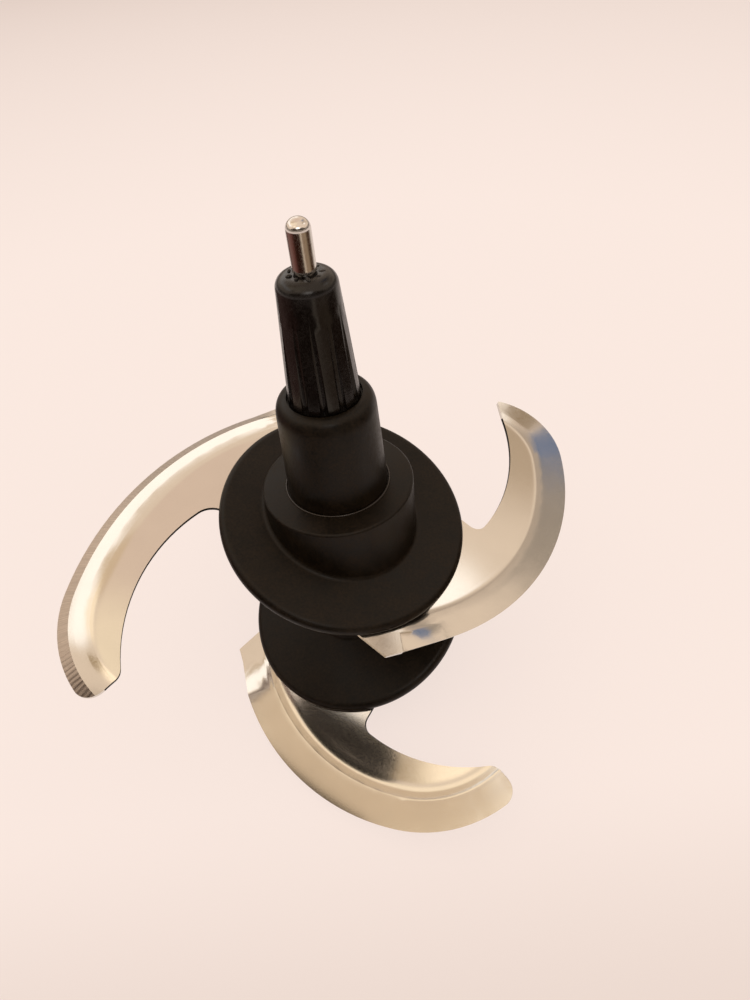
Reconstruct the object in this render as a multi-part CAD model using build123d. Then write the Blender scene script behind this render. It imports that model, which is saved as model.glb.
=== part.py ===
# Chopping blade assembly of a compact food chopper, in millimetres.
# A splined spindle with a steel centring pin stands on Z and carries everything.
# Three hub mouldings on its keyed shank clamp two stamped blades between slanted flanges.
# The foot of the hub stands on Z = 0, and its centre is the origin.
from build123d import *
import os
from collections import namedtuple
from math import atan2, cos, degrees, radians, sin, tan

# Steel pin in the top of the spindle
PIN_DIA = 4.0
PIN_PROUD = 8.7
PIN_SET = 18.0
PIN_DOME_SHARE = 0.9
PIN_ROOT_DIA = 3.0
PIN_RELIEF = 0.4

# Splined drive spindle and its shank
SPINDLE_TOP_DIA = 10.2
SPINDLE_LENGTH = 23.6
SPINDLE_TAPER = 4.15
SPINDLE_SHOULDER = 2.2
SPLINE_COUNT = 12
SPLINE_GROOVE_DIA = 1.5
SPLINE_DEPTH = 0.65
SPLINE_PLAIN_TOP = 4.5
SHANK_DIA = 12.0
SHANK_FLATS = 10.4
PIVOT_BORE_DIA = 8.0
PIVOT_BORE_DEPTH = 45.0

# Collar round the foot of the spindle
COLLAR_HEIGHT = 22.0
COLLAR_BASE_DIA = 20.8
COLLAR_DRAFT = 2.5
COLLAR_SHOULDER = 3.4
COLLAR_SEAM = 0.25
COLLAR_RECESS_DEPTH = 0.8
COLLAR_RECESS_WIDTH = 0.35

# Hub mouldings
BOSS_DIA = 31.6
BOSS_HEIGHT = 12.2
BOSS_EDGE = 0.6
BOSS_FILLET_SHARE = 0.62
FLANGE_DIA = 54.2
FLANGE_THICK = 2.6
FLANGE_TOP_EDGE = 1.6
FLANGE_LOW_EDGE = 0.9
LIP_INSET = 1.3
LIP_THICK = 1.9
LIP_EDGE = 0.7
NECK_DIA = 20.8
NECK_FILLET = 1.5
FOOT_DIA = 20.0
FOOT_EDGE = 0.8

# Where the blades lie: height of each blade's top face on the axis, slant and heading
LOWER_BLADE_HEIGHT = 15.4
BLADE_SPACING = 31.4
BLADE_TILT = 20.8
UPPER_HEADING = -43.5
HEADING_STEP = -90.0

# Blade sheet, in each blade's own plane: X runs down the slope
SHEET = 0.9
BLADE_EYE_DIA = 46.0
UPPER_RIM_CENTRE = (-9.8, 18.7)
UPPER_RIM_RADIUS = 50.2
UPPER_RIM_WIDTH = 5.0
UPPER_RIM_TURN = 43.4
UPPER_TIP_RADIUS = 17.2
UPPER_FOLD_RADIUS = 15.0
LOWER_RIM_CENTRE = (-10.9, 16.9)
LOWER_RIM_RADIUS = 52.0
LOWER_RIM_WIDTH = 6.4
LOWER_RIM_TURN = 25.0
LOWER_TIP_RADIUS = 32.6
LOWER_FOLD_RADIUS = 26.2
HIGH_RIM_CENTRE = (-26.8, 15.4)
HIGH_RIM_RADIUS = 64.8
HIGH_RIM_WIDTH = 4.6
HIGH_RIM_TURN = 33.3
HIGH_TIP_RADIUS = 23.8
HIGH_FOLD_RADIUS = 19.2
BEND_WIDTH = 2.6
BEVEL_WIDTH = 2.1
BEVEL_LAND = 0.25
RIM_TRIM = 0.7
RIM_SWEEP = 110.0
RAMP_SETBACK = 3.5
RAMP_LENGTH = 10.0
LOW_HOLLOW_CENTRE = (-14.2, 22.6)
LOW_HOLLOW_RADIUS = 38.3
HIGH_HOLLOW_CENTRE = (-13.3, 24.3)
HIGH_HOLLOW_RADIUS = 36.1
UPPER_ROOT = 19.0
LOWER_ROOT = 18.0
HIGH_ROOT = 16.4
ROOT_ANGLE = 3.0
LOW_ROOT_FILLET = 2.6
HIGH_ROOT_FILLET = 4.6
TAIL_STRAIGHT = 11.0
UPPER_TAIL_POINT = (26.8, -17.4)
UPPER_TAIL_ANGLE = 4.0
LOWER_TAIL_POINT = (27.0, -20.5)
LOWER_TAIL_ANGLE = -15.0
UPPER_TIP_ANGLE = 59.7
LOWER_TIP_ANGLE = 44.0
HIGH_TIP_ANGLE = 56.4
TIP_SLANT = 32.0

# Rounds on the corners of a wing's tip, as shares of the tip's width
UPPER_TIP_ROUND = 0.4
UPPER_TIP_INNER_ROUND = 0.4
LOWER_TIP_ROUND = 0.45
LOWER_TIP_INNER_ROUND = 0.4
HIGH_TIP_ROUND = 0.5
HIGH_TIP_INNER_ROUND = 0.34

# Clearance all round the shank
SHANK_FIT = 0.05

# Heights and sizes that follow
UPPER_BLADE_HEIGHT = LOWER_BLADE_HEIGHT + BLADE_SPACING
LIP_DIA = FLANGE_DIA - 2 * LIP_INSET
BOSS_TOP = UPPER_BLADE_HEIGHT + BOSS_HEIGHT
COLLAR_TOP = BOSS_TOP + COLLAR_HEIGHT
SPINDLE_TOP = COLLAR_TOP + SPINDLE_LENGTH
PIN_TOP = SPINDLE_TOP + PIN_PROUD
SPINDLE_BASE_DIA = SPINDLE_TOP_DIA + 2 * SPINDLE_LENGTH * tan(radians(SPINDLE_TAPER))
BLADE_SPAN = 2 * LOWER_RIM_RADIUS
RIM_BEND = BLADE_TILT
TALL = 2 * PIN_TOP

# Outer edge of a wing: its long arc, the width bent up, and the tighter arcs past the turn to the tip
Rim = namedtuple("Rim", "centre radius width turn tip_radius fold_radius")
# Round hollow that a wing curves about, and the line that ends it at the hub
Hollow = namedtuple("Hollow", "centre radius root fillet")
# Straight cut across a wing's tail
Tail = namedtuple("Tail", "point angle")
# End of a wing: where its tip is cut, and the rounds of its corners
Tip = namedtuple("Tip", "angle outer_round inner_round")


def turned(points):
    """Solid of revolution about Z from its half section, as (radius, height) points."""
    section = Plane.XZ * make_face(Polyline(*points, close=True))
    return revolve(section, Axis.Z)


def seat(height, heading):
    """Place of a blade: the origin on its top face, X down the slope, Z square to the sheet."""
    lean = radians(BLADE_TILT)
    turn = radians(heading)
    downhill = (cos(lean) * cos(turn), cos(lean) * sin(turn), -sin(lean))
    normal = (sin(lean) * cos(turn), sin(lean) * sin(turn), cos(lean))
    return Plane(origin=(0, 0, height), x_dir=downhill, z_dir=normal).location


def above(place, offset):
    """Everything above a blade's plane, moved off it by the offset."""
    block = Box(TALL, TALL, TALL, align=(Align.CENTER, Align.CENTER, Align.MIN))
    return place * Pos(0, 0, offset) * block


def below(place, offset):
    """Everything below a blade's plane, moved off it by the offset."""
    block = Box(TALL, TALL, TALL, align=(Align.CENTER, Align.CENTER, Align.MAX))
    return place * Pos(0, 0, offset) * block


def shank(clearance=0.0):
    """Keyed shank of the spindle, or the hole for it: round with two flats."""
    width = SHANK_FLATS + 2 * clearance
    return rising(SHANK_DIA + 2 * clearance, 0, COLLAR_TOP) & Box(SHANK_DIA * 2, width, TALL)


def rising(dia, low, high):
    """Upright cylinder on the axis between two heights."""
    bar = Cylinder(dia / 2, high - low, align=(Align.CENTER, Align.CENTER, Align.MIN))
    return Pos(0, 0, low) * bar


def half_plane(point, angle, upper):
    """Flat region to one side of a line through a point."""
    side = Align.MIN if upper else Align.MAX
    half = Rectangle(2 * BLADE_SPAN, BLADE_SPAN, align=(Align.CENTER, side))
    return Pos(*point) * Rot(0, 0, angle) * half


def nearest(shape, point):
    """Corner of a flat outline that lies nearest to a point."""
    return shape.vertices().sort_by_distance((*point, 0))[0]


def polar(centre, radius, angle):
    """Point at an angle in degrees round a centre."""
    return (centre[0] + radius * cos(radians(angle)), centre[1] + radius * sin(radians(angle)))


def disc(centre, radius):
    """Flat round region about a point."""
    return Pos(*centre) * Circle(radius)


def swept(centre, radius, turn, tip_radius):
    """Flat region inside a long arc that runs into a tighter one past a turn."""
    tip_centre = polar(centre, radius - tip_radius, turn)
    return disc(centre, radius) - (half_plane(tip_centre, turn, True) - disc(tip_centre, tip_radius))


def tail_heading(rim, tail):
    """Heading of the tail's corner round the rim's centre."""
    return degrees(atan2(tail.point[1] - rim.centre[1], tail.point[0] - rim.centre[0]))


def wing_plan(rim, hollow, tail, tip):
    """Sickle outline of one wing seen square to the sheet, with its tip rounded."""
    leave = tail_heading(rim, tail) + degrees(TAIL_STRAIGHT / rim.radius)
    last_point = polar(rim.centre, rim.radius, leave)
    straight = half_plane(last_point, leave - 90, False) & half_plane(rim.centre, leave, False)
    plan = swept(rim.centre, rim.radius, rim.turn, rim.tip_radius)
    plan = plan + (straight & disc(last_point, 2 * TAIL_STRAIGHT))
    inner_tip = polar(hollow.centre, hollow.radius, tip.angle)
    outer_tip = polar(inner_tip, 2 * rim.width, tip.angle + TIP_SLANT)
    plan = plan & half_plane(inner_tip, tip.angle + TIP_SLANT, False)
    plan = plan & half_plane(tail.point, tail.angle, True)
    plan = plan & half_plane((0, 0), -90, True)
    plan = plan - (disc(hollow.centre, hollow.radius) & half_plane((0, hollow.root), ROOT_ANGLE, True))
    plan = fillet(nearest(plan, (hollow.centre[0] + hollow.radius, hollow.root)), hollow.fillet)
    tip_width = (nearest(plan, outer_tip).center() - nearest(plan, inner_tip).center()).length
    plan = fillet(nearest(plan, inner_tip), tip.inner_round * tip_width)
    return fillet(nearest(plan, outer_tip), tip.outer_round * tip_width)


def rim_section(rim, bend, heading):
    """Section across a rim at a heading round its centre: flat, bend, slope and ground edge."""
    lean = radians(bend)
    fold = rim.radius - rim.width
    fold_under = fold + SHEET * tan(lean / 2)
    half = BEND_WIDTH / 2
    grind = rim.radius - BEVEL_WIDTH
    reach = rim.radius + RIM_TRIM

    def top(radius):
        return tan(lean) * (radius - fold)

    def ground(radius):
        left = SHEET + (BEVEL_LAND - SHEET) * (radius - grind) / BEVEL_WIDTH
        return top(radius) - left / cos(lean)

    start = (fold - half - RIM_TRIM, 0)
    flat_end = (fold - half, 0)
    slope_start = (fold + half, top(fold + half))
    under_start = (fold_under + half, tan(lean) * half - SHEET)
    under_flat = (fold_under - half, -SHEET)
    outline = Wire([
        Line(start, flat_end),
        Bezier(flat_end, (fold, 0), slope_start),
        Line(slope_start, (reach, top(reach))),
        Line((reach, top(reach)), (reach, ground(reach))),
        Line((reach, ground(reach)), (grind, ground(grind))),
        Line((grind, ground(grind)), under_start),
        Bezier(under_start, (fold_under, -SHEET), under_flat),
        Line(under_flat, (start[0], -SHEET)),
        Line((start[0], -SHEET), start),
    ])
    turn = radians(heading)
    outward = (cos(turn), sin(turn), 0)
    along = (sin(turn), -cos(turn), 0)
    return Plane(origin=(*rim.centre, 0), x_dir=outward, z_dir=along) * make_face(outline)


def wing(rim, hollow, tail, tip):
    """One sickle wing: its rim is bent up and the cutting edge is ground on the underside."""
    plan = wing_plan(rim, hollow, tail, tip)
    ramp_start = tail_heading(rim, tail) + degrees(RAMP_SETBACK / rim.radius)
    ramp_end = ramp_start + degrees(RAMP_LENGTH / rim.radius)
    fold = rim.radius - rim.width
    half = BEND_WIDTH / 2
    bent = disc(rim.centre, 2 * rim.radius) - swept(rim.centre, fold - half, rim.turn, rim.fold_radius - half)
    bent = bent & half_plane(rim.centre, ramp_start, True)
    flat = Pos(0, 0, -SHEET) * extrude(plan - bent, SHEET)
    start = rim_section(rim, RIM_BEND, ramp_end)
    ramp = loft([rim_section(rim, 0, ramp_start), start], ruled=True)
    edge = revolve(start, Axis((*rim.centre, 0), (0, 0, 1)), revolution_arc=rim.turn - ramp_end)
    fold_centre = polar(rim.centre, fold - rim.fold_radius, rim.turn)
    turn = rim_section(rim, RIM_BEND, rim.turn)
    tip_edge = revolve(turn, Axis((*fold_centre, 0), (0, 0, 1)), revolution_arc=RIM_SWEEP)
    column = Pos(0, 0, -rim.width) * extrude(plan, 3 * rim.width)
    return flat + (edge & column) + (tip_edge & column) + (ramp & column)


def blade(place, low_rim, low_hollow, tail, low_tip):
    """Stamped two-wing blade: the low wing's rim turns up and the high wing's rim turns down."""
    low = wing(low_rim, low_hollow, tail, low_tip)
    high = mirror(wing(high_rim, high_hollow, tail, high_tip), about=Plane.XY)
    high = Pos(0, 0, -SHEET) * Rot(0, 0, 180) * high
    eye = Cylinder(BLADE_EYE_DIA / 2, SHEET, align=(Align.CENTER, Align.CENTER, Align.MAX))
    return place * (eye + low + high) - shank(SHANK_FIT)


def flange(place):
    """Slanted flange that presses on a blade's top face, with rounded rims."""
    plate = rising(FLANGE_DIA, 0, FLANGE_THICK)
    plate = fillet(plate.edges().group_by(Axis.Z)[-1], FLANGE_TOP_EDGE)
    plate = fillet(plate.edges().group_by(Axis.Z)[0], FLANGE_LOW_EDGE)
    return place * plate


def lip(place):
    """Thin slanted lip that presses on a blade's underside."""
    plate = rising(LIP_DIA, -SHEET - LIP_THICK, -SHEET)
    plate = fillet(plate.edges().group_by(Axis.Z)[0], LIP_EDGE)
    return place * plate


def meeting_edge(shape, dia, height):
    """Closed edge where an upright cylinder of this diameter meets a slanted flange."""
    def off_wall(edge):
        points = [edge.position_at(step / 8) for step in range(8)]
        return max(abs(point.X ** 2 + point.Y ** 2 - (dia / 2) ** 2) for point in points)
    around = [edge for edge in shape.edges() if edge.geom_type != GeomType.LINE and off_wall(edge) < 0.01]
    return sorted(around, key=lambda edge: abs(edge.center().Z - height))[0]


def drive_pin():
    """Steel pin with a domed end and a thinner root, pressed into the top of the spindle."""
    pin = rising(PIN_DIA, SPINDLE_TOP + PIN_RELIEF, PIN_TOP)
    pin = fillet(pin.edges().group_by(Axis.Z)[-1], PIN_DOME_SHARE * PIN_DIA / 2)
    return pin + rising(PIN_ROOT_DIA, SPINDLE_TOP - PIN_SET, SPINDLE_TOP + PIN_RELIEF)


def drive_spindle():
    """Splined taper that enters the drive, on a keyed shank with the pivot bore in its foot."""
    top = SPINDLE_TOP_DIA / 2
    base = SPINDLE_BASE_DIA / 2
    taper = turned([(0, COLLAR_TOP - COLLAR_RECESS_DEPTH), (base, COLLAR_TOP - COLLAR_RECESS_DEPTH),
                    (base, COLLAR_TOP), (top, SPINDLE_TOP), (0, SPINDLE_TOP)])
    taper = fillet(taper.edges().group_by(Axis.Z)[-1], SPINDLE_SHOULDER)
    groove_low = Vector(base + SPLINE_GROOVE_DIA / 2 - SPLINE_DEPTH, 0, COLLAR_TOP)
    fade = top + SPLINE_PLAIN_TOP * tan(radians(SPINDLE_TAPER))
    groove_high = Vector(fade + SPLINE_GROOVE_DIA / 2, 0, SPINDLE_TOP - SPLINE_PLAIN_TOP)
    run = groove_high - groove_low
    groove = Plane(origin=groove_low, z_dir=run).location * Cylinder(
        SPLINE_GROOVE_DIA / 2, run.length, align=(Align.CENTER, Align.CENTER, Align.MIN))
    for copy in range(SPLINE_COUNT):
        taper = taper - Rot(0, 0, copy * 360 / SPLINE_COUNT) * groove
    spindle = taper + (shank() & rising(SHANK_DIA * 2, 0, COLLAR_TOP - COLLAR_RECESS_DEPTH))
    spindle = spindle - rising(PIN_ROOT_DIA, SPINDLE_TOP - PIN_SET, PIN_TOP)
    return spindle - rising(PIVOT_BORE_DIA, 0, PIVOT_BORE_DEPTH)


def collar():
    """Drafted sleeve with a rounded shoulder that closes the gap between spindle and hub."""
    draft = tan(radians(COLLAR_DRAFT))
    base = COLLAR_BASE_DIA / 2
    top = base - COLLAR_HEIGHT * draft
    hole = SHANK_DIA / 2 + SHANK_FIT
    mouth = SPINDLE_BASE_DIA / 2 + COLLAR_RECESS_WIDTH
    floor = COLLAR_TOP - COLLAR_RECESS_DEPTH
    wall_end = (top + COLLAR_SHOULDER * draft, COLLAR_TOP - COLLAR_SHOULDER)
    section = make_face([
        Polyline((mouth, COLLAR_TOP), (mouth, floor), (hole, floor), (hole, BOSS_TOP),
                 (base - COLLAR_SEAM, BOSS_TOP), (base, BOSS_TOP + COLLAR_SEAM), wall_end),
        Bezier(wall_end, (top, COLLAR_TOP), (mouth, COLLAR_TOP)),
    ])
    return revolve(Plane.XZ * section, Axis.Z)


def upper_hub(upper):
    """Boss and flange on top of the upper blade."""
    boss = rising(BOSS_DIA, LOWER_BLADE_HEIGHT, BOSS_TOP)
    boss = fillet(boss.edges().group_by(Axis.Z)[-1], BOSS_EDGE)
    hub = flange(upper) + (boss - below(upper, 0))
    lean = radians(BLADE_TILT)
    low_wall = BOSS_HEIGHT - FLANGE_THICK / cos(lean) - BOSS_DIA / 2 * tan(lean) - BOSS_EDGE
    room = low_wall * tan(radians(45 - BLADE_TILT / 2))
    base = meeting_edge(hub, BOSS_DIA, UPPER_BLADE_HEIGHT + FLANGE_THICK)
    hub = fillet(base, BOSS_FILLET_SHARE * room)
    return hub - shank(SHANK_FIT)


def middle_hub(upper, lower):
    """Lip under the upper blade, neck, and flange on top of the lower blade."""
    neck = rising(NECK_DIA, 0, BOSS_TOP) - above(upper, -SHEET) - below(lower, 0)
    hub = flange(lower) + neck
    hub = fillet(meeting_edge(hub, NECK_DIA, LOWER_BLADE_HEIGHT + FLANGE_THICK), NECK_FILLET)
    return hub + lip(upper) - shank(SHANK_FIT)


def lower_hub(lower):
    """Lip under the lower blade and the foot round the pivot."""
    foot = rising(FOOT_DIA, 0, UPPER_BLADE_HEIGHT) - above(lower, -SHEET)
    foot = fillet(foot.edges().group_by(Axis.Z)[0], FOOT_EDGE)
    return lip(lower) + foot - shank(SHANK_FIT)


upper_seat = seat(UPPER_BLADE_HEIGHT, UPPER_HEADING)
lower_seat = seat(LOWER_BLADE_HEIGHT, UPPER_HEADING + HEADING_STEP)

upper_rim = Rim(UPPER_RIM_CENTRE, UPPER_RIM_RADIUS, UPPER_RIM_WIDTH,
                UPPER_RIM_TURN, UPPER_TIP_RADIUS, UPPER_FOLD_RADIUS)
lower_rim = Rim(LOWER_RIM_CENTRE, LOWER_RIM_RADIUS, LOWER_RIM_WIDTH,
                LOWER_RIM_TURN, LOWER_TIP_RADIUS, LOWER_FOLD_RADIUS)
high_rim = Rim(HIGH_RIM_CENTRE, HIGH_RIM_RADIUS, HIGH_RIM_WIDTH,
               HIGH_RIM_TURN, HIGH_TIP_RADIUS, HIGH_FOLD_RADIUS)
upper_hollow = Hollow(LOW_HOLLOW_CENTRE, LOW_HOLLOW_RADIUS, UPPER_ROOT, LOW_ROOT_FILLET)
lower_hollow = Hollow(LOW_HOLLOW_CENTRE, LOW_HOLLOW_RADIUS, LOWER_ROOT, LOW_ROOT_FILLET)
high_hollow = Hollow(HIGH_HOLLOW_CENTRE, HIGH_HOLLOW_RADIUS, HIGH_ROOT, HIGH_ROOT_FILLET)
upper_tail = Tail(UPPER_TAIL_POINT, UPPER_TAIL_ANGLE)
lower_tail = Tail(LOWER_TAIL_POINT, LOWER_TAIL_ANGLE)
upper_tip = Tip(UPPER_TIP_ANGLE, UPPER_TIP_ROUND, UPPER_TIP_INNER_ROUND)
lower_tip = Tip(LOWER_TIP_ANGLE, LOWER_TIP_ROUND, LOWER_TIP_INNER_ROUND)
high_tip = Tip(HIGH_TIP_ANGLE, HIGH_TIP_ROUND, HIGH_TIP_INNER_ROUND)

nodes = {
    "drive_pin": drive_pin(),
    "drive_spindle": drive_spindle(),
    "collar_sleeve": collar(),
    "upper_hub": upper_hub(upper_seat),
    "upper_blade": blade(upper_seat, upper_rim, upper_hollow, upper_tail, upper_tip),
    "middle_hub": middle_hub(upper_seat, lower_seat),
    "lower_blade": blade(lower_seat, lower_rim, lower_hollow, lower_tail, lower_tip),
    "lower_hub": lower_hub(lower_seat),
}

os.makedirs("parts", exist_ok=True)
for name, solid in nodes.items():
    export_step(solid, f"parts/{name}.step")
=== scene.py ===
import math
from collections import namedtuple

import bmesh
import bpy
from mathutils import Matrix, Vector


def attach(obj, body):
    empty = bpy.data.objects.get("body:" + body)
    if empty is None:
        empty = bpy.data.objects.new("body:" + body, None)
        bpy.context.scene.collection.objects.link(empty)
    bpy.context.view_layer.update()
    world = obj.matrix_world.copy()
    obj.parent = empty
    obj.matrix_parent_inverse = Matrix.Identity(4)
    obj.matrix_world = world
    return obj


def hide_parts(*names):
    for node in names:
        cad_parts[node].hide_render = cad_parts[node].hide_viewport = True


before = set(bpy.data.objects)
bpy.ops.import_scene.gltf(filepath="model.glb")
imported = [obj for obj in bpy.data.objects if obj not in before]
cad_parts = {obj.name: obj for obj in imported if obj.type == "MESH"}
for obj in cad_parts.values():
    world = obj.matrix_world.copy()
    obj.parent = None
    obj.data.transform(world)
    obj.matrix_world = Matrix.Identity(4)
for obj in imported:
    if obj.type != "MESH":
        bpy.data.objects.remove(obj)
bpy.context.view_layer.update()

# Lower hub: the foot that stands on the bowl's floor, and the thin slanted lip under the lower blade.
# It is injection moulded in black glass-filled nylon, satin from the etched mould, and is pressed on
# the spindle's keyed shank.
MM = 0.001
HUB_BLACK, HUB_GREY = "#0a0703", "#20170c"
HUB_SMOOTH, HUB_ROUGH, HUB_SHINE = 0.34, 0.5, 0.2
ETCH_GRAIN = 0.16 * MM
MOULD_CREASE = 28
WELD = 0.002 * MM


def linear(code):
    """Linear colour of an sRGB hex value."""
    parts = [int(code[i:i + 2], 16) / 255 for i in (1, 3, 5)]
    return [c / 12.92 if c <= 0.04045 else ((c + 0.055) / 1.055) ** 2.4 for c in parts] + [1.0]


def add(tree, kind, inputs=None, **settings):
    """Add a node, set it up, and give each input a value or a link."""
    made = tree.nodes.new(kind)
    for key, value in settings.items():
        setattr(made, key, value)
    for key, value in (inputs or {}).items():
        if isinstance(value, bpy.types.NodeSocket):
            tree.links.new(value, made.inputs[key])
        else:
            made.inputs[key].default_value = value
    return made


def blank(name):
    """A material with only a shader, an output and the piece's own coordinates."""
    material = bpy.data.materials.new(name)
    material.use_nodes = True
    tree = material.node_tree
    tree.nodes.clear()
    shader = add(tree, "ShaderNodeBsdfPrincipled")
    add(tree, "ShaderNodeOutputMaterial", {"Surface": shader.outputs["BSDF"]})
    place = add(tree, "ShaderNodeTexCoord").outputs["Object"]
    return material, tree, shader, place


def moulded_nylon(name, dark, worn, smooth, rough, grain, shine):
    """Moulded nylon, black to the eye: fine etched grain under soft patches that are greyer and duller.

    The grain is drawn coarser than the real one, so that it shows."""
    material, tree, shader, place = blank(name)
    patch_size, speck_size, etch_depth = 5.0 * MM, 0.5 * MM, 0.03 * MM
    patches = add(tree, "ShaderNodeTexNoise", {"Vector": place, "Scale": 1 / patch_size, "Detail": 5.0,
                                               "Roughness": 0.65}).outputs[0]
    specks = add(tree, "ShaderNodeTexNoise", {"Vector": place, "Scale": 1 / speck_size,
                                              "Detail": 2.0}).outputs[0]
    wear = add(tree, "ShaderNodeMath", {0: patches, 1: specks}, operation="MULTIPLY").outputs[0]
    wear = add(tree, "ShaderNodeMapRange",
               {"Value": wear, "From Min": 0.12, "From Max": 0.4}).outputs["Result"]
    tint = add(tree, "ShaderNodeMix", {"Factor": wear, "A": linear(dark), "B": linear(worn)},
               data_type="RGBA")
    tree.links.new(tint.outputs["Result"], shader.inputs["Base Color"])
    gloss = add(tree, "ShaderNodeMapRange", {"Value": wear, "To Min": smooth, "To Max": rough})
    tree.links.new(gloss.outputs["Result"], shader.inputs["Roughness"])
    etch = add(tree, "ShaderNodeTexNoise", {"Vector": place, "Scale": 1 / grain, "Detail": 2.0})
    bump = add(tree, "ShaderNodeBump", {"Height": etch.outputs[0], "Strength": 0.3, "Distance": etch_depth})
    tree.links.new(bump.outputs["Normal"], shader.inputs["Normal"])
    shader.inputs["Specular IOR Level"].default_value = shine
    return material


def merged(name):
    """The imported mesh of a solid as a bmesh, with its loose facets joined."""
    shape = bmesh.new()
    shape.from_mesh(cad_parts[name].data)
    bmesh.ops.remove_doubles(shape, verts=shape.verts, dist=WELD)
    for face in shape.faces:
        face.smooth = True
    return shape


def dress(name, shape, crease, materials, node=None, flat_faces=False):
    """Make a piece of a finished bmesh, ride it on the part, and let it stand for a solid.

    With flat_faces, the largest face at each corner decides its shading, so that flat sheet looks flat."""
    mesh = bpy.data.meshes.new(name)
    shape.to_mesh(mesh)
    shape.free()
    stale = mesh.attributes.get("custom_normal")
    if stale:
        mesh.attributes.remove(stale)
    mesh.set_sharp_from_angle(angle=math.radians(crease))
    for material in materials:
        mesh.materials.append(material)
    piece = bpy.data.objects.new(name, mesh)
    bpy.context.scene.collection.objects.link(piece)
    if flat_faces:
        modifier = piece.modifiers.new("flat_faces", "WEIGHTED_NORMAL")
        modifier.weight = 100
        modifier.keep_sharp = True
        ready = piece.evaluated_get(bpy.context.evaluated_depsgraph_get())
        piece.data = bpy.data.meshes.new_from_object(ready)
        piece.modifiers.remove(modifier)
        bpy.data.meshes.remove(mesh)
        piece.data.name = name
    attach(piece, "root")
    if node:
        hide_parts(node)


nylon = moulded_nylon("black_nylon_satin", HUB_BLACK, HUB_GREY, HUB_SMOOTH, HUB_ROUGH, ETCH_GRAIN, HUB_SHINE)
dress("foot_and_lip", merged("lower_hub"), MOULD_CREASE, [nylon], "lower_hub")


# Lower blade: one stamped stainless sheet with two sickle wings, rims bent back level and cutting edges
# ground on one side. It is clamped between the lower hub's lip and the middle hub's flange.
# The third colour is a nearly black painted shade for the sheet's cut walls.
STEEL, GROUND, WALL_SHADE = "#d8d4cc", "#d2c9bf", "#15110d"
SHEET_SMOOTH, SHEET_ROUGH = 0.10, 0.18
SHEARED_SMOOTH, SHEARED_ROUGH = 0.5, 0.65
TILT = math.radians(20.8)
LOWER_HEIGHT, LOWER_HEADING = 15.4 * MM, math.radians(-133.5)
BEVEL = 2.1 * MM
EDGE_BREAK = 0.12 * MM
BEND, EASED_SHARE = 2.6 * MM, 0.7
BLADE_CREASE = 14
GROUND_REACH, GROUND_FACING = 0.9 * BEVEL, 0.5
WALL_INSET, WALL_UNDER, WALL_OVER = 2 * BEVEL, -0.95, 0.3
SAME_PLANE, CORNER, GROUND_LEAN = math.radians(0.2), math.radians(40), math.radians(12)
Rim = namedtuple("Rim", "centre radius width turn tip_radius fold_radius spread crown")
LOWER_LOW_RIM = Rim(centre=(-10.9 * MM, 16.9 * MM), radius=52.0 * MM, width=6.4 * MM, turn=math.radians(25),
                    tip_radius=32.6 * MM, fold_radius=26.2 * MM, spread=3.0 * MM, crown=0.25)
HIGH_RIM = Rim(centre=(-26.8 * MM, 15.4 * MM), radius=64.8 * MM, width=4.6 * MM, turn=math.radians(33.3),
               tip_radius=23.8 * MM, fold_radius=19.2 * MM, spread=2.5 * MM, crown=-0.06)


def rolled_steel(name, colour, smooth, rough):
    """Satin stainless sheet: the fine pits of the rolled skin break up what it mirrors.

    The pits are drawn coarser than the real ones, so that they show."""
    material, tree, shader, place = blank(name)
    shader.inputs["Metallic"].default_value = 1.0
    pit_size, pit_depth, stain_size = 0.3 * MM, 0.012 * MM, 7.0 * MM
    pits = add(tree, "ShaderNodeTexNoise", {"Vector": place, "Scale": 1 / pit_size, "Detail": 3.0,
                                            "Roughness": 0.7}).outputs[0]
    stains = add(tree, "ShaderNodeTexNoise", {"Vector": place, "Scale": 1 / stain_size,
                                              "Detail": 3.0}).outputs[0]
    shade = add(tree, "ShaderNodeMapRange",
                {"Value": stains, "To Min": 0.95, "To Max": 1.05}).outputs["Result"]
    tint = add(tree, "ShaderNodeMix", {"Factor": 1.0, "A": linear(colour), "B": shade},
               data_type="RGBA", blend_type="MULTIPLY")
    tree.links.new(tint.outputs["Result"], shader.inputs["Base Color"])
    gloss = add(tree, "ShaderNodeMapRange", {"Value": pits, "From Min": 0.3, "From Max": 0.7,
                                             "To Min": smooth, "To Max": rough})
    tree.links.new(gloss.outputs["Result"], shader.inputs["Roughness"])
    bump = add(tree, "ShaderNodeBump", {"Height": pits, "Strength": 0.25, "Distance": pit_depth})
    tree.links.new(bump.outputs["Normal"], shader.inputs["Normal"])
    return material


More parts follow.
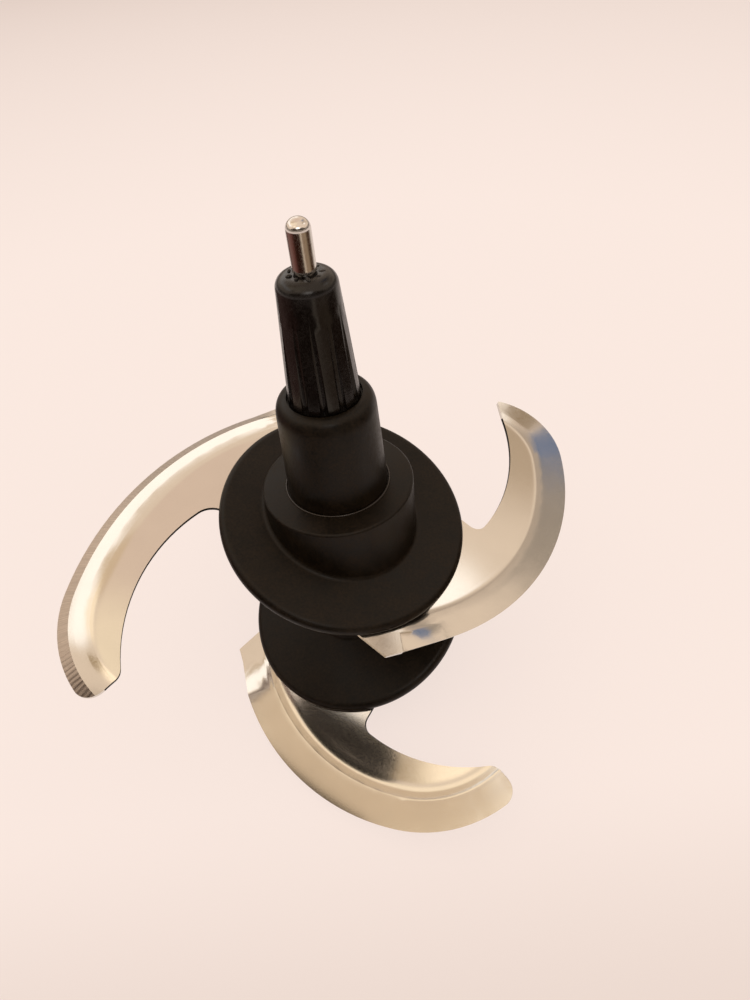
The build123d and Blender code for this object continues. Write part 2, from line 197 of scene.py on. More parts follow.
def ground_steel(name, colour):
    """Ground cutting edge: lines left by the wheel across the edge, deeper towards the tip.

    A wave texture of scale 1 repeats every 0.31, which gives the ribs their scale."""
    material, tree, shader = blank(name)[:3]
    shader.inputs["Metallic"].default_value = 1.0
    shader.inputs["Roughness"].default_value = 0.34
    line_width, line_length, line_depth = 0.22 * MM, 9.0 * MM, 0.05 * MM
    rib, faint_until, deep_from = 0.95 * MM, 20 * MM, 45 * MM
    wave_of_scale_one = 0.31
    spot = add(tree, "ShaderNodeUVMap", uv_map="edge").outputs["UV"]
    stretched = add(tree, "ShaderNodeMapping", {"Vector": spot,
                                                "Scale": (1 / line_width, 1 / line_length, 1)})
    lines = add(tree, "ShaderNodeTexNoise", {"Vector": stretched.outputs["Vector"], "Scale": 1.0,
                                             "Detail": 3.0}).outputs[0]
    tone = add(tree, "ShaderNodeMapRange", {"Value": lines, "From Min": 0.3, "From Max": 0.7,
                                            "To Min": 0.76, "To Max": 1.08}).outputs["Result"]
    tint = add(tree, "ShaderNodeMix", {"Factor": 1.0, "A": linear(colour), "B": tone},
               data_type="RGBA", blend_type="MULTIPLY")
    tree.links.new(tint.outputs["Result"], shader.inputs["Base Color"])
    ribs = add(tree, "ShaderNodeTexWave", {"Vector": spot, "Scale": wave_of_scale_one / rib,
                                           "Distortion": 1.5, "Detail": 1.0}, bands_direction="X").outputs[1]
    run = add(tree, "ShaderNodeSeparateXYZ", {"Vector": spot}).outputs["X"]
    deep = add(tree, "ShaderNodeMapRange", {"Value": run, "From Min": faint_until, "From Max": deep_from,
                                            "To Min": 0.1, "To Max": 1.0}).outputs["Result"]
    ribs = add(tree, "ShaderNodeMath", {0: ribs, 1: deep}, operation="MULTIPLY").outputs[0]
    relief = add(tree, "ShaderNodeMath", {0: ribs, 1: lines}, operation="ADD").outputs[0]
    bump = add(tree, "ShaderNodeBump", {"Height": relief, "Strength": 0.5, "Distance": line_depth})
    tree.links.new(bump.outputs["Normal"], shader.inputs["Normal"])
    return material


def blade_axes(heading):
    """Directions down a blade's slope, level across it, and square to its sheet."""
    slope, rise = math.cos(TILT), math.sin(TILT)
    downhill = Vector((slope * math.cos(heading), slope * math.sin(heading), -rise))
    normal = Vector((rise * math.cos(heading), rise * math.sin(heading), slope))
    return downhill, normal.cross(downhill), normal


def ease_folds(material, height, heading, low_rim):
    """Let the sheet start to turn before each fold, as pressed metal does, by a slight relief of the skin.

    The relief swells before the fold, turns over it, and beyond it leans by the rim's crown."""
    tree = material.node_tree
    place = tree.nodes["Texture Coordinate"].outputs["Object"]
    downhill, level = blade_axes(heading)[:2]
    lean = math.tan(TILT * EASED_SHARE)
    seat = add(tree, "ShaderNodeVectorMath", {0: place, 1: (0, 0, height)}, operation="SUBTRACT").outputs[0]
    x = add(tree, "ShaderNodeVectorMath", {0: seat, 1: downhill}, operation="DOT_PRODUCT").outputs["Value"]
    y = add(tree, "ShaderNodeVectorMath", {0: seat, 1: level}, operation="DOT_PRODUCT").outputs["Value"]
    reliefs = []
    for rim, side in ((low_rim, 1), (HIGH_RIM, -1)):
        fold = rim.radius - rim.width
        step = fold - rim.fold_radius
        tip = (rim.centre[0] + step * math.cos(rim.turn), rim.centre[1] + step * math.sin(rim.turn), 0)
        onward = (-math.sin(rim.turn), math.cos(rim.turn), 0)
        side_x = add(tree, "ShaderNodeMath", {0: x, 1: side}, operation="MULTIPLY").outputs[0]
        side_y = add(tree, "ShaderNodeMath", {0: y, 1: side}, operation="MULTIPLY").outputs[0]
        spot = add(tree, "ShaderNodeCombineXYZ", {"X": side_x, "Y": side_y}).outputs["Vector"]
        before = add(tree, "ShaderNodeVectorMath", {0: spot, 1: (*rim.centre, 0)},
                     operation="DISTANCE").outputs["Value"]
        before = add(tree, "ShaderNodeMath", {0: before, 1: fold}, operation="SUBTRACT").outputs[0]
        after = add(tree, "ShaderNodeVectorMath", {0: spot, 1: tip}, operation="DISTANCE").outputs["Value"]
        after = add(tree, "ShaderNodeMath", {0: after, 1: rim.fold_radius}, operation="SUBTRACT").outputs[0]
        past = add(tree, "ShaderNodeVectorMath", {0: spot, 1: tip}, operation="SUBTRACT").outputs["Vector"]
        past = add(tree, "ShaderNodeVectorMath", {0: past, 1: onward},
                   operation="DOT_PRODUCT").outputs["Value"]
        past = add(tree, "ShaderNodeMath", {0: past, 1: 0.0}, operation="GREATER_THAN").outputs[0]
        away = add(tree, "ShaderNodeMix", {"Factor": past, "A": before, "B": after},
                   data_type="FLOAT").outputs["Result"]
        rising = add(tree, "ShaderNodeMapRange", {"Value": away, "From Min": -BEND / 2 - rim.spread,
                                                  "From Max": -BEND / 2}).outputs["Result"]
        bent = add(tree, "ShaderNodeMapRange", {"Value": away, "From Min": -BEND / 2,
                                                "From Max": BEND / 2}).outputs["Result"]
        swell = add(tree, "ShaderNodeMath", {0: rising, 1: 3.0}, operation="POWER").outputs[0]
        swell = add(tree, "ShaderNodeMath", {0: swell, 1: lean * rim.spread / 3},
                    operation="MULTIPLY").outputs[0]
        half = add(tree, "ShaderNodeMath", {0: bent, 1: bent}, operation="MULTIPLY").outputs[0]
        half = add(tree, "ShaderNodeMath", {0: half, 1: -0.5}, operation="MULTIPLY").outputs[0]
        turned = add(tree, "ShaderNodeMath", {0: bent, 1: half}, operation="ADD").outputs[0]
        turned = add(tree, "ShaderNodeMath", {0: turned, 1: lean * BEND}, operation="MULTIPLY").outputs[0]
        beyond = add(tree, "ShaderNodeMath", {0: away, 1: 0.0}, operation="MAXIMUM").outputs[0]
        beyond = add(tree, "ShaderNodeMath", {0: beyond, 1: -rim.crown * math.tan(TILT)},
                     operation="MULTIPLY").outputs[0]
        relief = add(tree, "ShaderNodeMath", {0: swell, 1: turned}, operation="ADD").outputs[0]
        relief = add(tree, "ShaderNodeMath", {0: relief, 1: beyond}, operation="ADD").outputs[0]
        reliefs.append(add(tree, "ShaderNodeMath", {0: relief, 1: side}, operation="MULTIPLY").outputs[0])
    low_side = add(tree, "ShaderNodeMath", {0: x, 1: 0.0}, operation="GREATER_THAN").outputs[0]
    relief = add(tree, "ShaderNodeMix", {"Factor": low_side, "A": reliefs[1], "B": reliefs[0]},
                 data_type="FLOAT").outputs["Result"]
    grain = tree.nodes["Bump"]
    ease = add(tree, "ShaderNodeBump", {"Height": relief, "Strength": 1.0, "Distance": 1.0})
    tree.links.new(ease.outputs["Normal"], grain.inputs["Normal"])
    return material


def place_on_rim(rim, x, y):
    """Distance along a rim and inwards from its cutting edge, of a point of the wing's plan."""
    heading = math.atan2(y - rim.centre[1], x - rim.centre[0])
    if heading < rim.turn:
        return rim.radius * heading, rim.radius - math.hypot(x - rim.centre[0], y - rim.centre[1])
    step = rim.radius - rim.tip_radius
    tip_x, tip_y = rim.centre[0] + step * math.cos(rim.turn), rim.centre[1] + step * math.sin(rim.turn)
    past = math.atan2(y - tip_y, x - tip_x) - rim.turn
    return rim.radius * rim.turn + rim.tip_radius * past, rim.tip_radius - math.hypot(x - tip_x, y - tip_y)


# The ground edge looks duller and streaked across, and the sheared walls of the sheet are painted nearly
# black, a painted shade.
edge_steel = ground_steel("stainless_ground_edge", GROUND)
wall_shade_steel = rolled_steel("stainless_wall_painted_shade", WALL_SHADE, SHEARED_SMOOTH, SHEARED_ROUGH)


def stamped_blade(name, node, height, heading, low_rim):
    """A blade with its edges broken, and with the ground faces and the place along the edge marked."""
    downhill, level, normal = blade_axes(heading)
    seat = Vector((0, 0, height))

    def on_wing(point):
        x, y = (point - seat).dot(downhill), (point - seat).dot(level)
        return place_on_rim(low_rim, x, y) if x > 0 else place_on_rim(HIGH_RIM, -x, -y)

    shape = merged(node)
    bmesh.ops.dissolve_limit(shape, angle_limit=SAME_PLANE, verts=shape.verts, edges=shape.edges)
    corners = [edge for edge in shape.edges
               if len(edge.link_faces) == 2 and edge.calc_face_angle() > CORNER]
    bmesh.ops.bevel(shape, geom=corners, offset=EDGE_BREAK, segments=2, profile=0.5, affect="EDGES",
                    clamp_overlap=True)
    edge_map = shape.loops.layers.uv.new("edge")
    shape.normal_update()
    for face in shape.faces:
        face.smooth = True
        middle = face.calc_center_median()
        ground_side = normal if (middle - seat).dot(downhill) < 0 else -normal
        run, inset = on_wing(middle)
        if inset < GROUND_REACH and GROUND_FACING < face.normal.dot(ground_side) < math.cos(GROUND_LEAN):
            face.material_index = 1
        # The walls inside the edge take the nearly black painted shade.
        elif inset > WALL_INSET and WALL_UNDER < face.normal.dot(normal) < WALL_OVER and run > 0:
            face.material_index = 2
        for loop in face.loops:
            loop[edge_map].uv = on_wing(loop.vert.co)
    sheet = rolled_steel(name + "_satin_stainless", STEEL, SHEET_SMOOTH, SHEET_ROUGH)
    ease_folds(sheet, height, heading, low_rim)
    dress(name, shape, BLADE_CREASE, [sheet, edge_steel, wall_shade_steel], node, flat_faces=True)


stamped_blade("lower_blade_sheet", "lower_blade", LOWER_HEIGHT, LOWER_HEADING, LOWER_LOW_RIM)

# Middle hub: the lip under the upper blade, the neck, and the flange that presses on the lower blade.
# One moulding in the same black nylon, with rounded flange rims.
dress("neck_and_flange", merged("middle_hub"), MOULD_CREASE, [nylon], "middle_hub")

# Upper blade: the twin of the lower one, a quarter turn ahead of it, stamped from the same stainless
# sheet. It is clamped between the middle hub's lip and the upper hub's flange.
UPPER_HEIGHT, UPPER_HEADING = 46.8 * MM, math.radians(-43.5)
UPPER_LOW_RIM = Rim(centre=(-9.8 * MM, 18.7 * MM), radius=50.2 * MM, width=5.0 * MM, turn=math.radians(43.4),
                    tip_radius=17.2 * MM, fold_radius=15.0 * MM, spread=2.0 * MM, crown=0.0)
stamped_blade("upper_blade_sheet", "upper_blade", UPPER_HEIGHT, UPPER_HEADING, UPPER_LOW_RIM)

# Upper hub: round boss and slanted flange that press on the upper blade from above.
# One moulding in the same black nylon, pressed on the keyed shank.
dress("boss_and_flange", merged("upper_hub"), MOULD_CREASE, [nylon], "upper_hub")

# Collar sleeve: drafted sleeve with a rounded shoulder that closes the foot of the spindle.
# Moulded in the same black nylon, and pressed down on the boss.
dress("collar", merged("collar_sleeve"), MOULD_CREASE, [nylon], "collar_sleeve")

# Collar bead: the thin line of flash where the sleeve was pressed against the boss.
# It is the same nylon, but squeezed smooth and shinier, and its colour is a little lighter, a painted
# highlight along the joint.
BEAD_CIRCLE, BEAD_THICK, BEAD_HEIGHT = 10.75 * MM, 0.2 * MM, 59.1 * MM
BEAD_STEPS, BEAD_SIDES, BEAD_CREASE = 128, 10, 60
# These two colours are lighter than the hub's, a painted highlight.
BEAD_HIGHLIGHT_BLACK, BEAD_HIGHLIGHT_GREY = "#1a120c", "#241a12"
FLASH_SMOOTH, FLASH_ROUGH, FLASH_SHINE = 0.22, 0.34, 0.6
shape = bmesh.new()
rings = []
for step in range(BEAD_STEPS):
    heading = 2 * math.pi * step / BEAD_STEPS
    ring = []
    for side in range(BEAD_SIDES):
        bow = 2 * math.pi * side / BEAD_SIDES
        reach = BEAD_CIRCLE + BEAD_THICK * math.cos(bow)
        ring.append(shape.verts.new((reach * math.cos(heading), reach * math.sin(heading),
                                     BEAD_HEIGHT + BEAD_THICK * math.sin(bow))))
    rings.append(ring)
for one, two in zip(rings, rings[1:] + rings[:1]):
    for side in range(BEAD_SIDES):
        after = (side + 1) % BEAD_SIDES
        shape.faces.new((one[side], two[side], two[after], one[after])).smooth = True
bead_highlight_nylon = moulded_nylon("black_nylon_painted_highlight", BEAD_HIGHLIGHT_BLACK, BEAD_HIGHLIGHT_GREY, FLASH_SMOOTH, FLASH_ROUGH,
                            ETCH_GRAIN, FLASH_SHINE)
dress("collar_bead", shape, BEAD_CREASE, [bead_highlight_nylon])

# Drive spindle: tapered moulding with shallow splines that fade out below the rounded top.
# It is black nylon from a polished mould, so it looks glossier than the hubs, and its keyed shank
# carries the hubs and the blades.
SPINDLE_BLACK, SPINDLE_GREY = "#080605", "#120d0a"
SPINDLE_SMOOTH, SPINDLE_ROUGH, SPINDLE_SHINE = 0.18, 0.3, 0.4
SPINDLE_GRAIN = 0.4 * MM
spindle_nylon = moulded_nylon("black_nylon_polished", SPINDLE_BLACK, SPINDLE_GREY, SPINDLE_SMOOTH,
                              SPINDLE_ROUGH, SPINDLE_GRAIN, SPINDLE_SHINE)
dress("spindle", merged("drive_spindle"), MOULD_CREASE, [spindle_nylon], "drive_spindle")

# Stake marks: the small irregular lumps of nylon that were pressed up round the pin to hold it.
# They repeat round the pin, so a node tree sets them out.
STAKE_COUNT, STAKE_CIRCLE, STAKE_SIZE, STAKE_HEIGHT = 9, 2.75 * MM, 0.5 * MM, 104.55 * MM
STAKE_LEAST, STAKE_MOST = (0.5, 0.5, 0.3), (1.5, 1.1, 0.9)
STAKE_SEED = 4


def stake_ring(name, material):
    """Lumps of uneven size on a circle, as a plain mesh."""
    tree = bpy.data.node_groups.new(name, "GeometryNodeTree")
    sizes = {"Count": STAKE_COUNT, "Circle": STAKE_CIRCLE, "Size": STAKE_SIZE, "Height": STAKE_HEIGHT}
    for label, value in sizes.items():
        kind = "NodeSocketInt" if isinstance(value, int) else "NodeSocketFloat"
        tree.interface.new_socket(label, in_out="INPUT", socket_type=kind)
    tree.interface.new_socket("Geometry", in_out="OUTPUT", socket_type="NodeSocketGeometry")
    given = add(tree, "NodeGroupInput").outputs
    circle = add(tree, "GeometryNodeMeshCircle", {"Vertices": given["Count"], "Radius": given["Circle"]})
    lump = add(tree, "GeometryNodeMeshIcoSphere", {"Radius": given["Size"], "Subdivisions": 3})
    smooth = add(tree, "GeometryNodeSetShadeSmooth", {"Geometry": lump.outputs["Mesh"]})
    uneven = add(tree, "FunctionNodeRandomValue", {0: STAKE_LEAST, 1: STAKE_MOST, "Seed": STAKE_SEED},
                 data_type="FLOAT_VECTOR")
    turned = add(tree, "FunctionNodeRandomValue", {0: (0, 0, 0), 1: (0, 0, math.pi), "Seed": STAKE_SEED + 1},
                 data_type="FLOAT_VECTOR")
    lumps = add(tree, "GeometryNodeInstanceOnPoints",
                {"Points": circle.outputs["Mesh"], "Instance": smooth.outputs["Geometry"],
                 "Scale": uneven.outputs[0], "Rotation": turned.outputs[0]})
    lift = add(tree, "ShaderNodeCombineXYZ", {"Z": given["Height"]})
    placed = add(tree, "GeometryNodeTransform", {"Geometry": lumps.outputs["Instances"],
                                                 "Translation": lift.outputs["Vector"]})
    real = add(tree, "GeometryNodeRealizeInstances", {"Geometry": placed.outputs["Geometry"]})
    dressed = add(tree, "GeometryNodeSetMaterial", {"Geometry": real.outputs["Geometry"],
                                                    "Material": material})
    add(tree, "NodeGroupOutput", {"Geometry": dressed.outputs["Geometry"]})
    piece = bpy.data.objects.new(name, bpy.data.meshes.new(name + "_seed"))
    bpy.context.scene.collection.objects.link(piece)
    modifier = piece.modifiers.new(name, "NODES")
    modifier.node_group = tree
    for item in tree.interface.items_tree:
        if item.in_out == "INPUT":
            modifier[item.identifier] = sizes[item.name]
    ready = piece.evaluated_get(bpy.context.evaluated_depsgraph_get())
    piece.data = bpy.data.meshes.new_from_object(ready)
    piece.modifiers.remove(modifier)
    return piece


stakes = stake_ring("pin_stakes", spindle_nylon)
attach(stakes, "root")

# Drive pin: round steel pin with a domed end, pressed into the spindle.
# It was turned and polished, so its fine rings draw what it mirrors out into upright bands.
PIN_STEEL, PIN_SMOOTH, PIN_ROUGH, PIN_DRAWN = "#d9d5d0", 0.14, 0.22, 0.92
PIN_RADIUS, PIN_DOME, PIN_ROOT_RADIUS = 2.0 * MM, 1.8 * MM, 1.5 * MM
PIN_FOOT, PIN_STEP, PIN_TOP = 86.6 * MM, 105.0 * MM, 113.3 * MM
PIN_SIDES, DOME_STEPS, PIN_CREASE = 64, 20, 40
pin_steel = rolled_steel("turned_pin_steel", PIN_STEEL, PIN_SMOOTH, PIN_ROUGH)
tree = pin_steel.node_tree
shader = tree.nodes["Principled BSDF"]
shader.inputs["Anisotropic"].default_value = PIN_DRAWN
round_pin = add(tree, "ShaderNodeTangent", direction_type="RADIAL", axis="Z")
tree.links.new(round_pin.outputs["Tangent"], shader.inputs["Tangent"])
profile = [(PIN_ROOT_RADIUS, PIN_FOOT), (PIN_ROOT_RADIUS, PIN_STEP), (PIN_RADIUS, PIN_STEP)]
for step in range(DOME_STEPS + 1):
    rise = math.pi / 2 * step / DOME_STEPS
    profile.append((PIN_RADIUS - PIN_DOME + PIN_DOME * math.cos(rise),
                    PIN_TOP - PIN_DOME + PIN_DOME * math.sin(rise)))
shape = bmesh.new()
foot, top = shape.verts.new((0, 0, PIN_FOOT)), shape.verts.new((0, 0, PIN_TOP))
headings = [2 * math.pi * side / PIN_SIDES for side in range(PIN_SIDES)]
rings = [[shape.verts.new((reach * math.cos(heading), reach * math.sin(heading), z)) for heading in headings]
         for reach, z in profile]
for side in range(PIN_SIDES):
    after = (side + 1) % PIN_SIDES
    shape.faces.new((foot, rings[0][after], rings[0][side]))
    shape.faces.new((top, rings[-1][side], rings[-1][after]))
    for low, high in zip(rings, rings[1:]):
        shape.faces.new((low[side], low[after], high[after], high[side]))
for face in shape.faces:
    face.smooth = True
dress("pin", shape, PIN_CREASE, [pin_steel], "drive_pin")

# Stage floor: a wide sheet of pale paper under the part, with a painted pool of light: painted shade makes
# it a little darker far away and in front.
# The camera and the reflections see it mostly at this painted colour, and the rest of it takes the shadow.
FLOOR_NEAR, FLOOR_FAR, FLOOR_FRONT_SHADE, PAPER = "#ffefe8", "#e2d0c8", "#ecdbd3", "#fbf3ee"
FLOOR_REACH = 6.0
POOL_FROM, POOL_TO = 0.3, 1.5
FRONT_FROM, FRONT_TO = -0.04, -0.095
SELF_LIT = 0.78


def level_sheet(name, corners, height):
    """A flat level sheet of one face."""
    mesh = bpy.data.meshes.new(name)
    mesh.from_pydata([(x, y, height) for x, y in corners], [], [(0, 1, 2, 3)])
    return mesh


sweep_mesh = level_sheet("sweep", ((-FLOOR_REACH, -FLOOR_REACH), (FLOOR_REACH, -FLOOR_REACH),
                                   (FLOOR_REACH, FLOOR_REACH), (-FLOOR_REACH, FLOOR_REACH)), 0)
sweep = bpy.data.objects.new("sweep", sweep_mesh)
bpy.context.scene.collection.objects.link(sweep)
paper, tree, shader, place = blank("white_paper")
shader.inputs["Roughness"].default_value = 0.9
shader.inputs["Base Color"].default_value = linear(PAPER)
# The pool of light and the darker front are painted into the floor's colour.
distance = add(tree, "ShaderNodeVectorMath", {0: place}, operation="LENGTH").outputs["Value"]
fall = add(tree, "ShaderNodeMapRange", {"Value": distance, "From Min": POOL_FROM,
                                        "From Max": POOL_TO}).outputs["Result"]
painted_light_pool = add(tree, "ShaderNodeMix", {"Factor": fall, "A": linear(FLOOR_NEAR), "B": linear(FLOOR_FAR)},
           data_type="RGBA").outputs["Result"]
depth = add(tree, "ShaderNodeSeparateXYZ", {"Vector": place}).outputs["Y"]
front = add(tree, "ShaderNodeMapRange", {"Value": depth, "From Min": FRONT_FROM, "From Max": FRONT_TO},
            interpolation_type="SMOOTHSTEP").outputs["Result"]
painted_light_pool = add(tree, "ShaderNodeMix", {"Factor": front, "A": painted_light_pool, "B": linear(FLOOR_FRONT_SHADE)},
           data_type="RGBA").outputs["Result"]
glow = add(tree, "ShaderNodeEmission", {"Color": painted_light_pool, "Strength": 1.0})
path = add(tree, "ShaderNodeLightPath").outputs
seen = add(tree, "ShaderNodeMath", {0: path["Is Camera Ray"], 1: path["Is Glossy Ray"]},
           operation="MAXIMUM").outputs[0]
seen = add(tree, "ShaderNodeMath", {0: seen, 1: path["Is Transmission Ray"]}, operation="MAXIMUM").outputs[0]
share = add(tree, "ShaderNodeMath", {0: seen, 1: SELF_LIT}, operation="MULTIPLY").outputs[0]
blend = add(tree, "ShaderNodeMixShader", {0: share, 1: shader.outputs["BSDF"], 2: glow.outputs["Emission"]})
tree.links.new(blend.outputs["Shader"], tree.nodes["Material Output"].inputs["Surface"])
sweep_mesh.materials.append(paper)

# Dark card: a curved card that stands round the front and the sides of the part and glows dark, with paler
# and bright
# bands: a painted reflection, so that the pin and the black mouldings mirror something dark there. Only
# reflections see it.
CARD_RADIUS, CARD_FOOT, CARD_HEIGHT, CARD_STEPS = 0.13, 0.001, 0.075, 52
CARD_FROM, CARD_TO = math.radians(130), math.radians(390)
CARD_START, CARD_END = "#1d120d", "#fff0e0"
CARD_BANDS = ((0.12, "#8a6a62"), (0.28, "#6a4038"), (0.36, "#2a140c"), (0.57, "#2a140c"), (0.59, "#ffe9d0"),
              (0.61, "#ffe9d0"), (0.63, "#8a705a"), (0.76, "#a58c72"), (0.82, "#3a2416"), (0.93, "#4a3020"))


def reflected_only(name, mesh, material):
    """Put a card of the stage in the scene that only reflections see."""
    mesh.materials.append(material)
    made = bpy.data.objects.new(name, mesh)
    bpy.context.scene.collection.objects.link(made)
    made.visible_camera = False
    made.visible_diffuse = False
    made.visible_shadow = False
    made.visible_transmission = False


shape = bmesh.new()
length_map = shape.loops.layers.uv.new("length")
rows = []
for step in range(CARD_STEPS + 1):
    heading = CARD_FROM + (CARD_TO - CARD_FROM) * step / CARD_STEPS
    x, y = CARD_RADIUS * math.cos(heading), CARD_RADIUS * math.sin(heading)
    rows.append([shape.verts.new((x, y, z)) for z in (CARD_FOOT, CARD_HEIGHT)])
for step in range(CARD_STEPS):
    one, two = rows[step], rows[step + 1]
    face = shape.faces.new((one[0], two[0], two[1], one[1]))
    for loop in face.loops:
        loop[length_map].uv = ((step + (loop.vert in two)) / CARD_STEPS, 0)
card_mesh = bpy.data.meshes.new("dark_card")
shape.to_mesh(card_mesh)
shape.free()
card_glow, tree = blank("card_painted_reflection")[:2]
length = add(tree, "ShaderNodeUVMap", uv_map="length").outputs["UV"]
length = add(tree, "ShaderNodeSeparateXYZ", {"Vector": length}).outputs["X"]
bands = add(tree, "ShaderNodeValToRGB", {"Fac": length})
ramp = bands.color_ramp.elements
ramp[0].position, ramp[0].color = 0.0, linear(CARD_START)
ramp[1].position, ramp[1].color = 1.0, linear(CARD_END)
for position, code in CARD_BANDS:
    ramp.new(position).color = linear(code)
glow = add(tree, "ShaderNodeEmission", {"Color": bands.outputs["Color"], "Strength": 1.0})
tree.links.new(glow.outputs["Emission"], tree.nodes["Material Output"].inputs["Surface"])
reflected_only("dark_card", card_mesh, card_glow)

# Overhead panel: a dark ceiling close above the part with soft strips of light and colour on it, pale at
# the back and on the left, blue and grey on the right, and one lamp in front. The strips stand for the room
# that the steel mirrors in the photograph, and only reflections see them. They are given in centimetres.
CM = 0.01
PANEL_HEIGHT, PANEL_REACH = 0.22, 0.5
PANEL_DARK = "#33261c"
WHITE, CREAM, TAN, GREY, BLUE, BROWN, BLACK = (
    "#fff6ee", "#ffe9cc", "#f0d2b0", "#a89a8c", "#7485a6", "#8c7250", "#0c0704")
PANEL_STRIPS = (
    ((-40, 20), (40, 20), 31, 39, "#ffe7d0", 1.0),
    ((20, 12), (20, 17), 2, 6, "#cdb499", 1.0),
    ((0.5, 7), (-2.2, 0.5), 2, 4, "#f6dac5", 1.0),
    ((-5, 28), (-16, 17), 6, 9, WHITE, 1.6),
    ((-16, 17), (-15, 0), 3.5, 6, WHITE, 1.6),
    ((-9.8, -1), (-9.8, 1), 1.8, 3.6, CREAM, 1.4),
    ((-5.5, 2.4), (-7.5, 3.2), 1.2, 2.4, TAN, 0.95),
    ((-7.5, 3.2), (-11.0, 4.7), 1.0, 2.1, TAN, 0.95),
    ((-21, 1), (-20.6, 12.5), 0.8, 2.2, TAN, 0.8),
    ((-3.2, -2.6), (-4.3, -4.0), 1.5, 4, CREAM, 1.2),
    ((-12, -6.8), (-10, -7.3), 0.6, 1.5, "#b59a74", 1.0),
    ((-6.4, -8.4), (-8.0, -8.1), 1.2, 2.6, CREAM, 1.7),
    ((11, 9), (10.2, 5), 1.0, 3.6, "#c9b5a2", 1.0),
    ((8.6, 11.8), (7.5, 8.4), 0.8, 1.9, GREY, 1.0),
    ((7.3, 6.8), (6.9, 4.8), 1.0, 2.1, BLUE, 1.0),
    ((8.0, 1.9), (9.9, 0.0), 0.4, 1.2, BROWN, 1.0),
    ((12.8, 0.8), (14.5, 1.8), 1.2, 2.6, WHITE, 1.7),
    ((10.3, -1.5), (10.1, -1.2), 0.4, 0.9, "#6f5747", 1.0),
    ((1, -18), (1.1, -18), 4, 7, WHITE, 3.0),
)


def soft_strip(tree, place, start, end, inner, outer):
    """How far a place is inside a soft round-ended strip, from 0 outside to 1 in its core."""
    run = Vector(end) - Vector(start)
    from_start = add(tree, "ShaderNodeVectorMath", {0: place, 1: start}, operation="SUBTRACT").outputs[0]
    part = add(tree, "ShaderNodeVectorMath", {0: from_start, 1: run / run.length_squared},
               operation="DOT_PRODUCT").outputs["Value"]
    part = add(tree, "ShaderNodeClamp", {"Value": part}).outputs["Result"]
    nearest = add(tree, "ShaderNodeVectorMath", {0: run, "Scale": part}, operation="SCALE").outputs[0]
    away = add(tree, "ShaderNodeVectorMath", {0: from_start, 1: nearest},
               operation="DISTANCE").outputs["Value"]
    return add(tree, "ShaderNodeMapRange", {"Value": away, "From Min": outer, "From Max": inner},
               interpolation_type="SMOOTHSTEP").outputs["Result"]


panel_mesh = level_sheet("overhead_panel", ((-PANEL_REACH, -PANEL_REACH), (-PANEL_REACH, PANEL_REACH),
                                            (PANEL_REACH, PANEL_REACH), (PANEL_REACH, -PANEL_REACH)),
                         PANEL_HEIGHT)
# The panel glows: its dark ground and strips are painted reflections and painted light, seen only by
# reflections.
glowing_reflection_panel, tree, shader, place = blank("glowing_reflection_panel")
colour = linear(PANEL_DARK)
for start, end, inner, outer, code, strength in PANEL_STRIPS:
    ends = [(x * CM, y * CM, PANEL_HEIGHT) for x, y in (start, end)]
    inside = soft_strip(tree, place, *ends, inner * CM, outer * CM)
    light = [c * strength for c in linear(code)[:3]] + [1.0]
    colour = add(tree, "ShaderNodeMix", {"Factor": inside, "A": colour, "B": light},
                 data_type="RGBA").outputs["Result"]
glow = add(tree, "ShaderNodeEmission", {"Color": colour, "Strength": 1.0})
tree.links.new(glow.outputs["Emission"], tree.nodes["Material Output"].inputs["Surface"])
reflected_only("overhead_panel", panel_mesh, glowing_reflection_panel)

# Low flag: a small black card with feathered edges, held over the root of the lower wing. Only reflections
# see it, and it keeps the steel beside the hub as dark as the hub itself.
FLAG_HEIGHT, FLAG_REACH = 45 * MM, 60 * MM
FLAG_ENDS = ((-40.6 * MM, -25.8 * MM, FLAG_HEIGHT), (-21.6 * MM, -40.8 * MM, FLAG_HEIGHT))
FLAG_CORE, FLAG_FEATHER = 6.4 * MM, 8.0 * MM
flag_mesh = level_sheet("low_flag", ((-FLAG_REACH, -FLAG_REACH), (FLAG_REACH, -FLAG_REACH), (FLAG_REACH, 0),
                                     (-FLAG_REACH, 0)), FLAG_HEIGHT)
# The flag is a painted dark reflection: its black core is put where the steel is to look dark.
flag_dark_reflection, tree, shader, place = blank("feathered_painted_dark_reflection")
inside = soft_strip(tree, place, *FLAG_ENDS, FLAG_CORE, FLAG_FEATHER)
clear = add(tree, "ShaderNodeBsdfTransparent")
glow = add(tree, "ShaderNodeEmission", {"Color": linear(BLACK), "Strength": 1.0})
blend = add(tree, "ShaderNodeMixShader", {0: inside, 1: clear.outputs["BSDF"], 2: glow.outputs["Emission"]})
tree.links.new(blend.outputs["Shader"], tree.nodes["Material Output"].inputs["Surface"])
reflected_only("low_flag", flag_mesh, flag_dark_reflection)

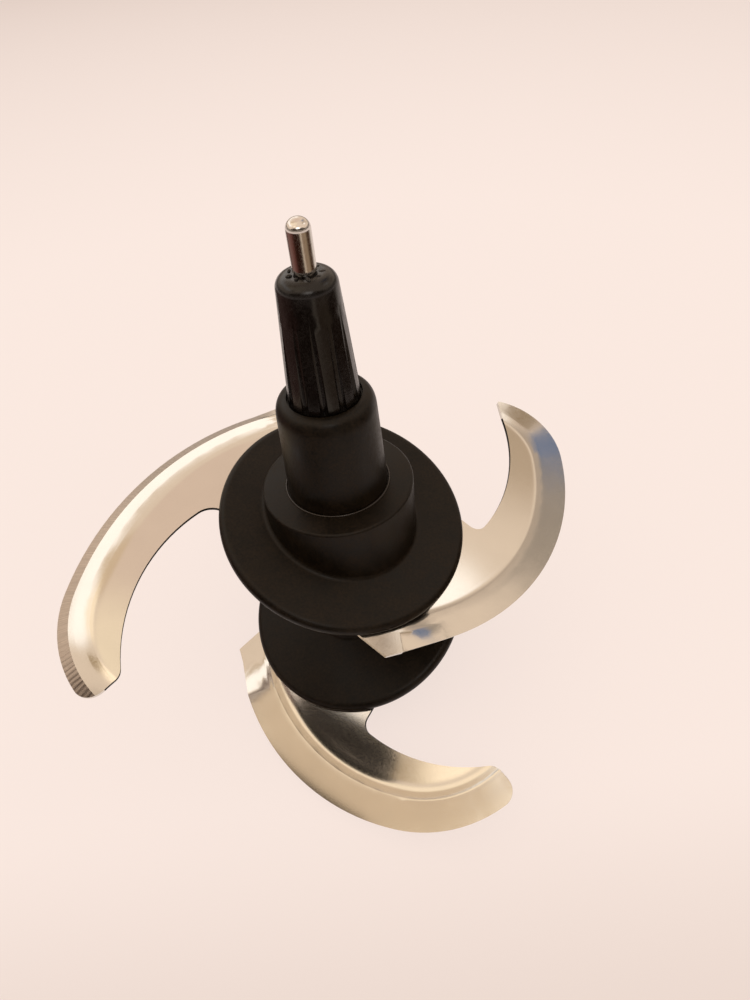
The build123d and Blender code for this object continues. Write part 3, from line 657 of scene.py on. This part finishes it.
# Room: soft warm light from all round, brighter from above. Reflections see a darker horizon, and the
# camera sees the floor's far colour as the backdrop.
HORIZON, MIRRORED_HORIZON, CEILING = "#b09a84", "#33271d", "#f7e6d6"
HORIZON_RISE, CEILING_RISE = -0.2, 0.8
world = bpy.data.worlds.new("room")
bpy.context.scene.world = world
world.use_nodes = True
tree = world.node_tree
tree.nodes.clear()
view = add(tree, "ShaderNodeTexCoord").outputs["Generated"]
rise = add(tree, "ShaderNodeSeparateXYZ", {"Vector": view}).outputs["Z"]
height = add(tree, "ShaderNodeMapRange", {"Value": rise, "From Min": HORIZON_RISE,
                                          "From Max": CEILING_RISE}).outputs["Result"]
path = add(tree, "ShaderNodeLightPath").outputs
skyline = add(tree, "ShaderNodeMix", {"Factor": path["Is Glossy Ray"], "A": linear(HORIZON),
                                      "B": linear(MIRRORED_HORIZON)}, data_type="RGBA").outputs["Result"]
air = add(tree, "ShaderNodeMix", {"Factor": height, "A": skyline, "B": linear(CEILING)},
          data_type="RGBA").outputs["Result"]
air = add(tree, "ShaderNodeMix", {"Factor": path["Is Camera Ray"], "A": air, "B": linear(FLOOR_FAR)},
          data_type="RGBA").outputs["Result"]
room_light = add(tree, "ShaderNodeBackground", {"Color": air, "Strength": 1.0})
add(tree, "ShaderNodeOutputWorld", {"Surface": room_light.outputs["Background"]})

# Camera: close above the part, tipped down and rolled a little, as the photograph was taken.
# Its place and lens were worked out from the hub's circles and the outlines.
FOCAL, FILM, NEAREST = 23.4, 36.0, 0.002
DOWN, ROLL = math.radians(45.36), math.radians(-6.03)
CAMERA_PLACE = (0.00726, -0.09898, 0.15195)
back = Vector((0, -math.cos(DOWN), math.sin(DOWN)))
right = Vector((1, 0, 0))
up = back.cross(right)
across = math.cos(ROLL) * right + math.sin(ROLL) * up
upward = -math.sin(ROLL) * right + math.cos(ROLL) * up
lens = bpy.data.cameras.new("camera")
lens.lens = FOCAL
lens.sensor_fit = "VERTICAL"
lens.sensor_height = FILM
lens.sensor_width = FILM
lens.clip_start = NEAREST
camera = bpy.data.objects.new("camera", lens)
bpy.context.scene.collection.objects.link(camera)
turn = Matrix((across, upward, back)).transposed().to_4x4()
camera.matrix_world = Matrix.Translation(CAMERA_PLACE) @ turn
bpy.context.scene.camera = camera
bpy.context.scene.view_settings.view_transform = "Standard"
